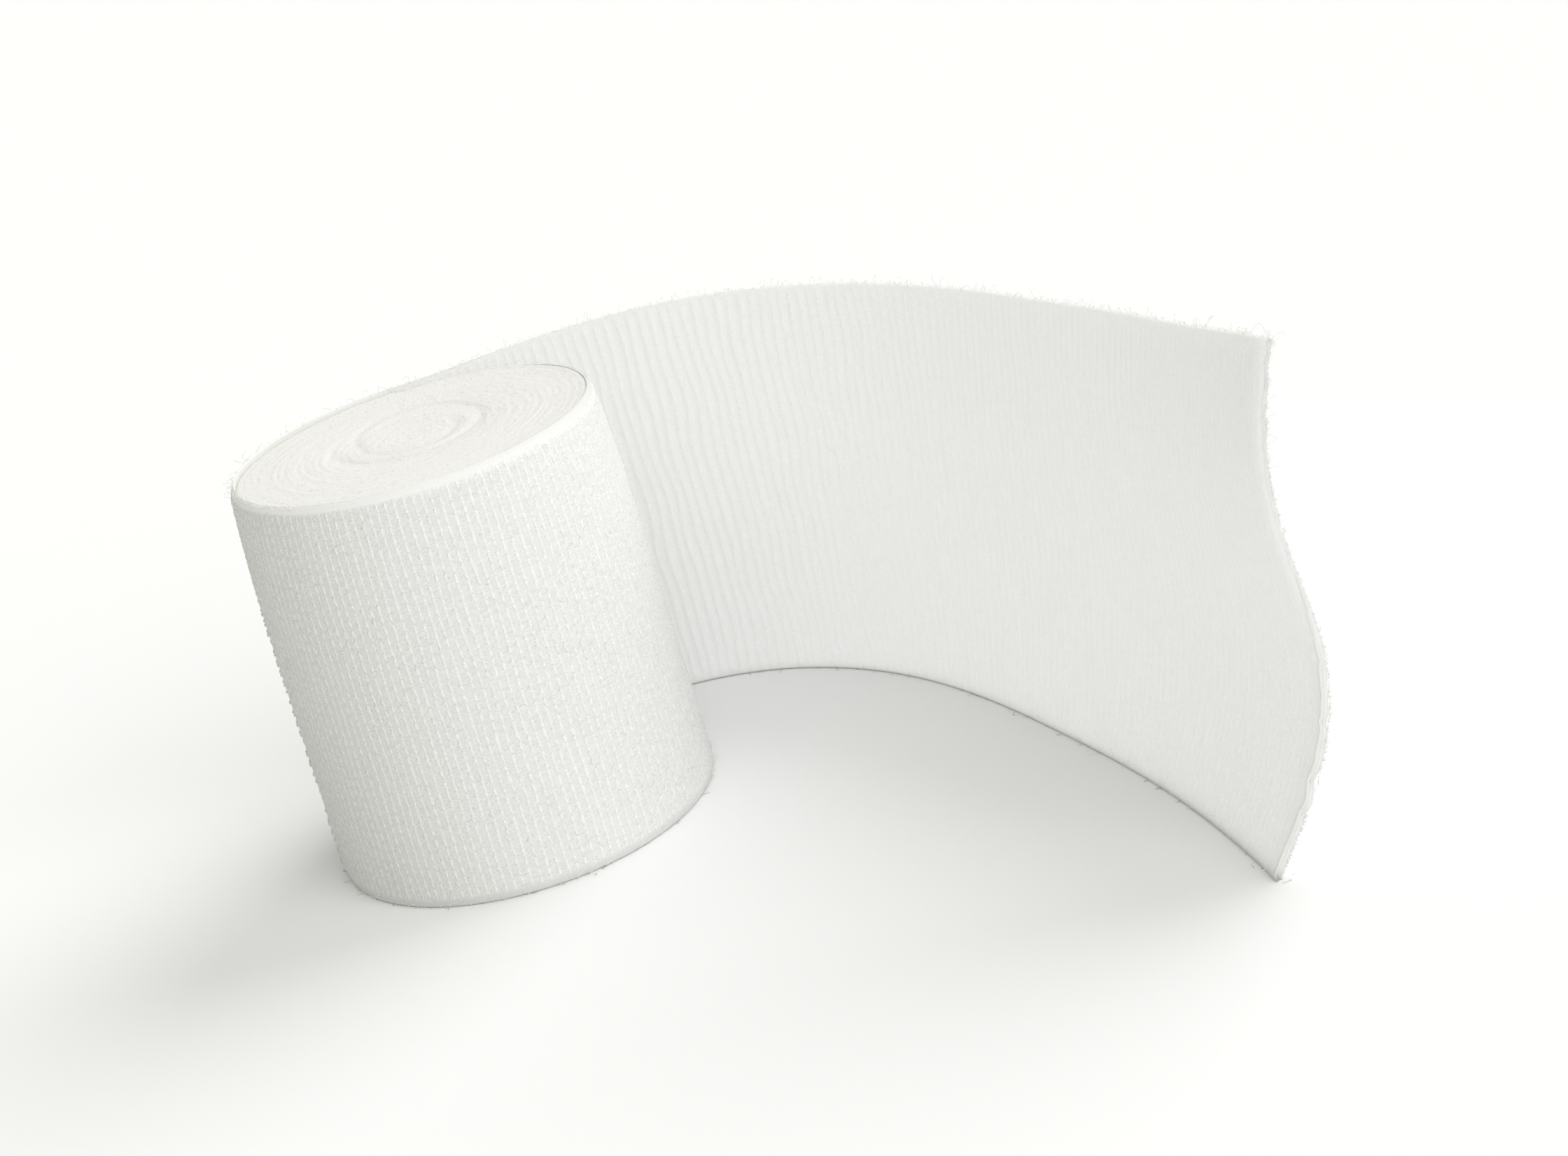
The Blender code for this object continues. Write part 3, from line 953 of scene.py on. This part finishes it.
def makeWoundTurns():
    sizes, pitch = woundTurns, winding["turnPitch"]
    columns, rows = sizes["columns"], sizes["rows"]
    share = (np.arange(columns) / columns)[:, None]
    degrees = winding["leaveAngle"] + 360 * share
    risenShare = endRise(np.radians(degrees))
    outerReach = wallRadius(79.0) - outerTurn["thickness"] - sizes["gap"]
    rim = outerReach - pitch * share + 0.2 * risenShare  # its own radius shrinks by a pitch round the roll
    radius = rim * np.linspace(0.004, 1, rows)[None, :]
    angle = np.radians(degrees) + 0 * radius
    x, y = radius * np.cos(angle), radius * np.sin(angle)
    crest = np.abs(np.sin(math.pi * ((outerReach - radius) / pitch - share))) ** 0.7
    soft = 0.6 + 0.4 * softNoise(x / 6, y / 6, 51)
    uneven = softNoise(radius / 1.2, 2.0 * np.sin(angle) + 1.3 * np.cos(angle), 52)
    away, deep = grooveAway(degrees + 0 * radius, radius)
    groove = deep * np.exp(-(away / sizes["grooveWidth"]) ** 2)
    risen = risenShare * np.exp(-(rim - radius) / 9)
    inset = outerReach - radius - pitch * share * np.exp(-(rim - radius) / 4)
    depth = np.interp(inset, sizes["inset"], sizes["depth"]) * (1 - risen)
    joining = (1 - smoothStep(share, 0.0, 0.10)) * (1 - smoothStep(rim - radius, 0.6, 1.35))
    level = winding["clothWidth"] - depth * (1 - joining) - sizes["joinDepth"] * joining
    level += sizes["turnRise"] * (crest - 1) * soft + sizes["turnUneven"] * uneven
    level -= sizes["grooveDepth"] * groove
    top = rollPoint(share, radius + pitch * share, level)
    wall = np.array([70.0, 30.0, 4.0, 0.9])[None, :]
    side = rollPoint(share, rim - 0.3 + pitch * share + 0 * wall, wall)
    radiusUnder = (rim - 0.8) * np.linspace(1, 0.01, sizes["underRows"])[None, :]
    turnUnder = (outerReach - radiusUnder) / pitch - share
    under = rollPoint(share, radiusUnder + pitch * share, 0.4 - 0.2 * np.abs(np.sin(math.pi * turnUnder)))
    points = np.concatenate([top, side, under], axis=1)
    total = points.shape[1]
    faces = gridFaces(columns, total, wrapColumns=True)
    faces.append(tuple(i * total for i in range(columns))[::-1])
    faces.append(tuple(i * total + total - 1 for i in range(columns)))

    def filled(values, rest=0.0):
        # carries what the end face holds on to the sides and the underside
        values = values.reshape(columns, rows, -1)
        return np.concatenate([values, np.full((columns, total - rows, values.shape[-1]), rest)], axis=1)

    # painted shade beside the rim, none where the end face comes up to it; with the dips between turns and
    # the core's groove it darkens the end face, and uneven adds random tone
    edge = 0.35 * np.exp(-((rim - radius) / 0.7) ** 2) + 0.3 * np.exp(-((rim - radius) / 3.0) ** 2)
    edge *= 1 - risenShare
    high = np.clip(0.8 + 0.2 * crest - 0.55 * groove - edge + 0.1 * uneven, 0, 1)
    holder = meshFrom("woundTurnsForm", points, faces, attributes={
        "reliefShare": filled(0 * angle + 1), "outward": filled([0, 0, 1] + 0 * outwardAt(angle)),
        "flow": filled(aroundAt(angle)), "toneAndShade": filled(high, 1.0),
        "clothPlace": filled(np.stack([0.4 * x, 0.4 * y, radius], -1))})
    return grow(holder, relief, sizes, woundFinish, "wound_turns")


woundPiece = makeWoundTurns()
endNap = {"density": 2.0, "length": 0.8, "width": 0.06, "lean": 0.0, "spread": 0.8, "lift": 0.02, "seed": 5}
endNapPiece = makeNap("wound_turns_nap", woundPiece, "edge fibre", endNap)
print("wound turns made")

looseCloth = {
    "rows": 58,  # on each side
    "firstRib": 0.9,  # from the roll's end
    "lastRib": 0.7,  # from the cut end
    "outerSwell": 0.10,  # between ribs, on the outer side
    "ridge": 0.085,  # of a rib's two strands
    "strandApart": 0.13,
    "strandEdge": 0.26,
    "matHeight": 0.05,
    "matScale": 1.2,
    "matStretch": 1.0,
    "seed": 2.0,
    "wander": 0.34,
    "fineWander": 0.12,
    "ragged": 0.35,  # how unevenly the end is cut
    "cutThin": 0.35,  # share of the thickness in its upper half
    "cutThick": 1.35,  # and lower down, where the edge is matted
    "scallop": 0.10,  # how far the edges swell between ribs
}


def ribCentres():
    # where the ribs stand along the loose end
    places, place = [], looseCloth["firstRib"]
    while place < loose["length"] - looseCloth["lastRib"]:
        places.append(place)
        place += float(looseColumn("ribPitch", np.array(place / loose["length"])))
    return np.array(places)


def looseWander(centre, up):
    away = np.minimum(centre, loose["length"] - centre)
    sway = looseCloth["wander"] * softNoise(centre / 14, up * 7, 31)
    sway += looseCloth["fineWander"] * softNoise(centre / 2.5, up * 14, 32)
    return sway * smoothStep(away, 0.4, 4.0)


def looseColumns():
    # for each column: the rib it keeps to, its offset from that, its ridge's height, and its rib count
    edge, apart = looseCloth["strandEdge"], looseCloth["strandApart"]
    centres = ribCentres()
    middles = (centres[1:] + centres[:-1]) / 2
    rows = [(-0.5, 0.0, 0.0, -0.5)]
    for number, centre in enumerate(centres):
        for offset, ridge in ((-edge, 0.0), (-apart, 1.0), (0.0, 0.55), (apart, 1.0), (edge, 0.0)):
            rows.append((centre, offset, ridge, number + 0.1 * offset / edge))
        if number < len(middles):
            rows.append((middles[number], 0.0, 0.0, number + 0.5))
    for back in (0.5, 0.3, 0.16, 0.06, 0.0):
        rows.append((loose["length"] - back, 0.0, 0.0, len(centres) - 0.5))
    return np.array(rows).T


def clothEnd(first, rows, flipped):
    # closes one end of the cloth: quads from side to side, and the rounded edges at both ends of the strip
    bend = len(edgeTurn)
    total = 2 * (rows + bend)
    strip = [(i, i + 1, 2 * rows + bend - 2 - i, 2 * rows + bend - 1 - i) for i in range(rows - 1)]
    strip.append(tuple(range(rows - 1, rows + bend + 1)))
    strip.append(tuple(i % total for i in range(2 * rows + bend - 1, total + 1)))
    return [tuple(first + i for i in (face[::-1] if flipped else face)) for face in strip]


def makeLooseEnd():
    sizes, length, width, half = looseCloth, loose["length"], winding["clothWidth"], loose["thickness"] / 2
    centre, offset, ridge, rib = [values[:, None] for values in looseColumns()]
    margin = half / width
    outer = margin + np.linspace(0, 1, sizes["rows"]) * (1 - 2 * margin)
    # section round the cloth: up its outer side, over the top edge, down its inner side, under the lower one
    over, under = 1 - margin * (1 - np.sin(edgeTurn)), margin * (1 - np.sin(edgeTurn))
    side, edge = np.ones(len(outer)), np.zeros(len(edgeTurn))
    up = np.concatenate([outer, over, outer[::-1], under])[None, :]
    out = half * np.concatenate([side, np.cos(edgeTurn), -side, -np.cos(edgeTurn)])[None, :]
    faceOut = np.concatenate([side, edge, 0 * side, edge])[None, :]
    onFace = np.concatenate([side, edge, side, edge])[None, :]
    flatness = smoothStep(up, 0.2 / width, 0.9 / width) * smoothStep(1 - up, 0.2 / width, 0.9 / width)
    along = centre + offset + looseWander(centre, up)
    fromCut = length - along
    thin = np.sqrt(np.clip(1 - (1 - np.clip(fromCut / half, 0, 1)) ** 2, 0.15, 1))
    kept = sizes["cutThin"] + (sizes["cutThick"] - sizes["cutThin"]) * (1 - smoothStep(up, 0.35, 0.60))
    thin = thin * (kept + (1 - kept) * smoothStep(fromCut, 0.0, 5.0))
    rag = softNoise(up * 60, 0 * up, 21) + 0.6 * softNoise(up * 140, 0 * up, 22)
    share = (along + sizes["ragged"] * (1 - smoothStep(fromCut, 0.0, 3.0)) * rag) / length
    normal = looseOutward(np.clip(share, 0, 1), up + 0 * share)
    pillow = np.maximum(np.abs(np.sin(math.pi * rib)), 0) ** 0.8
    ridge = ridge * smoothStep(fromCut, 0.8, 2.5)
    raised = flatness * (sizes["ridge"] * ridge + faceOut * sizes["outerSwell"] * pillow) * onFace
    points = loosePoint(share, up + 0 * share) + normal * (out * thin + np.sign(out) * raised)[..., None]
    points[..., 2] += sizes["scallop"] * (pillow - 1) * smoothStep(up, 0.9, 1.0)
    points[..., 2] = np.maximum(points[..., 2], 0.0)
    columns, total = points.shape[:2]
    faces = gridFaces(columns, total, wrapRows=True)
    faces += clothEnd(0, sizes["rows"], True)
    faces += clothEnd((columns - 1) * total, sizes["rows"], False)
    facing = normal * np.sign(out + 1e-9)[..., None]
    otherSide = np.where(out > 0, 6.0, 0.0)  # so that the two sides' brushing differs
    holder = meshFrom("looseEndForm", points, faces, attributes={
        "reliefShare": onFace + 0 * share, "outward": facing, "flow": np.cross(facing, [0, 0, 1.0]),
        "clothPlace": np.stack(np.broadcast_arrays(along, up * width, otherSide + 0 * along), -1),
        "strand": ridge * onFace * flatness,
        # where shade is painted: along the top and lower edges and over the cut end
        "margin": np.maximum(1 - flatness, 0.8 * (1 - smoothStep(fromCut, 0.7, 1.6)))})
    return grow(holder, relief, sizes, looseFinish, "loose_cloth")


loosePiece = makeLooseEnd()
print("loose end laid out")

# stray fibre along the edges: a few long loops, and short fuzz
strayFibres = {
    "spacing": 1.8, "reach": 2.3, "thickness": 0.035, "curl": 1.2, "bendScale": 500.0, "bends": 12}
fuzz = {"spacing": 0.40, "reach": 0.65, "thickness": 0.04, "curl": 0.5, "bendScale": 700.0, "bends": 5}
rimFuzz = fuzz | {"spacing": 0.25, "reach": 0.80, "thickness": 0.05}
cutFuzz = fuzz | {"spacing": 0.14, "reach": 0.75, "thickness": 0.06, "bendScale": 900.0}
bowShape = {"Start": (-0.1, 0, -0.12), "Middle": (0.25, 0.1, 1.5), "End": (0.75, 0, 0.1)}
# points along each guide line, and how many of the rim's carry fibre at its back
guides = {"rim": 400, "rimBack": 150, "loose": 300, "cut": 120}


def tubeAlong(tree, curve, sides, radius):
    ring = addNode(tree, "GeometryNodeCurvePrimitiveCircle", {"Resolution": sides, "Radius": radius})
    return addNode(tree, "GeometryNodeCurveToMesh", {
        "Curve": curve, "Profile Curve": ring.outputs[0], "Fill Caps": True}).outputs[0]


def fibreTree():
    # thin fibres that stand out of guide lines in bows, each bent its own way
    tree, inside, out = newGeometryTree(
        "strayFibres", lengths=["spacing", "reach", "thickness", "curl"], factors=["bendScale"],
        counts=["bends", "seed"])
    seed = inside["seed"]
    lines = addNode(tree, "GeometryNodeMeshToCurve", {"Mesh": inside["Geometry"]}).outputs[0]
    spaced = addNode(tree, "GeometryNodeResampleCurve", {
        "Curve": lines, "Length": inside["spacing"]}, mode="LENGTH")
    spread = chance(tree, seed, 3, (-1, -1, -1), (1, 1, 1))
    jitter = scaleVector(tree, spread, times(tree, inside["spacing"], 0.6))
    jogged = shifted(tree, spaced.outputs[0], scaleVector(tree, jitter, 0.5))
    aim = combine(tree, "ADD", stored(tree, "outward", "FLOAT_VECTOR"), scaleVector(tree, spread, 0.8))
    bow = addNode(tree, "GeometryNodeCurveQuadraticBezier", {"Resolution": inside["bends"], **bowShape})
    around = addNode(tree, "FunctionNodeAxisAngleToRotation", {
        "Axis": (0, 0, 1), "Angle": chance(tree, seed, 11, 0.0, 6.28)})
    spun = addNode(tree, "FunctionNodeRotateRotation", {
        0: turnedTo(tree, aim), 1: around.outputs[0]}, rotation_space="LOCAL")
    long = calculate(tree, "POWER", chance(tree, seed, 5, 0.05, 1.0), 2.0)
    size = times(tree, inside["reach"], calculate(tree, "ADD", long, 0.15))
    laid = addNode(tree, "GeometryNodeInstanceOnPoints", {
        "Points": jogged, "Instance": bow.outputs[0], "Rotation": spun.outputs[0], "Scale": size})
    bows = addNode(tree, "GeometryNodeRealizeInstances", {"Geometry": laid.outputs[0]})
    position = addNode(tree, "GeometryNodeInputPosition").outputs[0]
    wind = addNode(tree, "ShaderNodeTexNoise", {
        "Vector": position, "Scale": inside["bendScale"], "Detail": 1.0})
    centred = combine(tree, "SUBTRACT", wind.outputs["Color"], (0.5, 0.5, 0.5))
    bent = shifted(tree, bows.outputs[0], scaleVector(tree, centred, inside["curl"]))
    finishTree(tree, tubeAlong(tree, bent, 3, inside["thickness"]), inside, out)
    return tree


def makeFibres(name, points, outward, seed, sizes, finish):
    edges = lineEdges(1, len(points))
    holder = meshFrom(name + "Guides", points, edges=edges, attributes={"outward": outward})
    piece = grow(holder, fibres, sizes | {"seed": seed}, yarnFinishes[finish], name)
    places = np.zeros(len(piece.data.vertices) * 3, np.float32)
    piece.data.vertices.foreach_get("co", places)
    places[2::3] = np.maximum(places[2::3], 0.03 * mm)  # none goes through what the roll stands on
    piece.data.vertices.foreach_set("co", places)
    return piece


def edgeLines():
    # guide line along each edge, and the way that fibres stand out of it
    share, back = np.linspace(0, 1, guides["rim"]), slice(guides["rimBack"])
    outward = outwardAt(turnAngle(share))
    topRim = rollPoint(share, wallRadius(79.4) - 0.7, 79.8)
    lowerRim = rollPoint(share, wallRadius(0.5) - 0.2, 0.5)
    along, up = np.linspace(0.0, 1.0, guides["loose"]), np.linspace(0.0, 1.0, guides["cut"])
    ahead = aroundAt(np.radians(loose["heading"][-1] - 90 + 0 * up))
    facing = looseOutward(1.0, up)
    cutOut = np.interp(up, [0.35, 0.6], [0.55, 0.15])[:, None]
    return {
        "top_rim": (topRim[back], outward[back] + [0, 0, 0.5]),
        "lower_rim": (lowerRim, outward + [0, 0, 0.1]),
        "loose_top": (loosePoint(along, 1.0), looseOutward(along, 1.0) * 0.4 + [0, 0, 1]),
        "loose_lower": (loosePoint(along, 0.004), -looseOutward(along, 0.01) + [0, 0, 0.1]),
        "cut_end": (loosePoint(1.0, up) + facing * cutOut, 0.5 * ahead + facing),
    }


fibres = fibreTree()
fibrePieces = []
for number, (name, (points, outward)) in enumerate(edgeLines().items()):
    fibrePieces.append(makeFibres(name + "_loops", points, outward, 5 + number, strayFibres, "stray fibre"))
    sizes = {"cut_end": cutFuzz, "lower_rim": rimFuzz}.get(name, fuzz)
    fibrePieces.append(makeFibres(name + "_fuzz", points, outward, 25 + number, sizes, "edge fuzz"))
print("stray fibre added")

threads = {
    "thickness": 0.035,
    "pointsPerThread": 26,
    # how far up the cut end each starts, and where it then runs, in mm to the right and up
    "cutEnd": [
        (0.995, [(0.0, 0.0), (1.1, 0.6), (2.3, 0.9), (2.3, 0.5), (1.3, 0.2), (0.1, -0.3)]),
        (0.985, [(0.0, 0.0), (0.3, -0.9), (-0.2, -1.9), (-1.3, -2.9)]),
        (0.930, [(0.0, 0.0), (0.5, -0.2), (0.3, -1.0), (-0.2, -1.3), (0.1, -1.5)]),
        (0.850, [(0.0, 0.0), (0.45, -0.3), (0.3, -0.9), (-0.35, -1.3)]),
        (0.800, [(0.0, 0.0), (0.4, -0.9), (-0.5, -1.8)]),
        (0.730, [(0.0, 0.0), (0.6, 0.15), (0.5, -0.25), (0.9, -0.3)]),
        (0.440, [(0.0, 0.0), (0.85, 0.4), (1.2, -0.1), (0.2, -0.7)]),
        (0.360, [(0.0, 0.0), (0.6, 0.2), (1.5, -0.2), (1.7, -0.9), (1.0, -1.2), (0.2, -0.6), (-0.4, -0.9)]),
        (0.290, [(0.0, 0.0), (0.5, -0.5), (-0.2, -1.1)]),
        (0.200, [(0.0, 0.0), (0.4, -0.8), (1.0, -0.5), (1.4, -0.9), (2.1, -0.6), (2.5, -0.6)]),
    ],
    # a thread that lies along the rim: from and to these shares of a turn
    "rimFrom": 0.74,
    "rimTo": 0.93,
    "rimPoints": 150,
    "rimSway": 0.35,
}


def threadTree():
    # makes guide lines into thin round threads
    tree, inside, out = newGeometryTree("threads", lengths=["thickness"])
    lines = addNode(tree, "GeometryNodeMeshToCurve", {"Mesh": inside["Geometry"]}).outputs[0]
    finishTree(tree, tubeAlong(tree, lines, 4, inside["thickness"]), inside, out)
    return tree


def makeThreads(name, lines):
    holder = meshFrom(name + "Guides", lines, edges=lineEdges(*np.shape(lines)[:2]))
    return grow(holder, thread, threads, yarnFinishes["stray fibre"], name)


def cutEndThreads():
    lines = []
    for number, (up, path) in enumerate(threads["cutEnd"]):
        run = splineThrough(path, np.linspace(0, len(path) - 1, threads["pointsPerThread"]))
        start = loosePoint(1.0, up) + looseOutward(1.0, min(up, 0.99)) * 0.15
        depth = 0.3 * np.sin(np.linspace(0, 5, len(run)) + number)
        lines.append(start + np.stack([run[:, 0], depth, run[:, 1]], -1))
    return makeThreads("cut_end_threads", lines)


def rimThread():
    share = np.linspace(threads["rimFrom"], threads["rimTo"], threads["rimPoints"])
    sway = threads["rimSway"] * softNoise(share * 110, 0 * share, 71)
    rise = np.abs(threads["rimSway"] * softNoise(share * 130, 0 * share, 72))
    return makeThreads("rim_thread", [rollPoint(share, wallRadius(79.4) - 0.7 + sway, 79.85 + rise)])


thread = threadTree()
fibrePieces += [cutEndThreads(), rimThread()]
print("threads added")

rollPieces = [outerTurnPiece, rollNapPiece, rollYarnPiece, rollTuftPiece, woundPiece, endNapPiece]
rollPieces += [piece for piece in fibrePieces if "rim" in piece.name]
loosePieces = [loosePiece] + [piece for piece in fibrePieces if "rim" not in piece.name]
for slot, pieces in (("roll", rollPieces), ("loose_end", loosePieces)):
    for piece in pieces:
        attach(piece, "root")
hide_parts("roll")
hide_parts("roll")
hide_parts("loose_end")
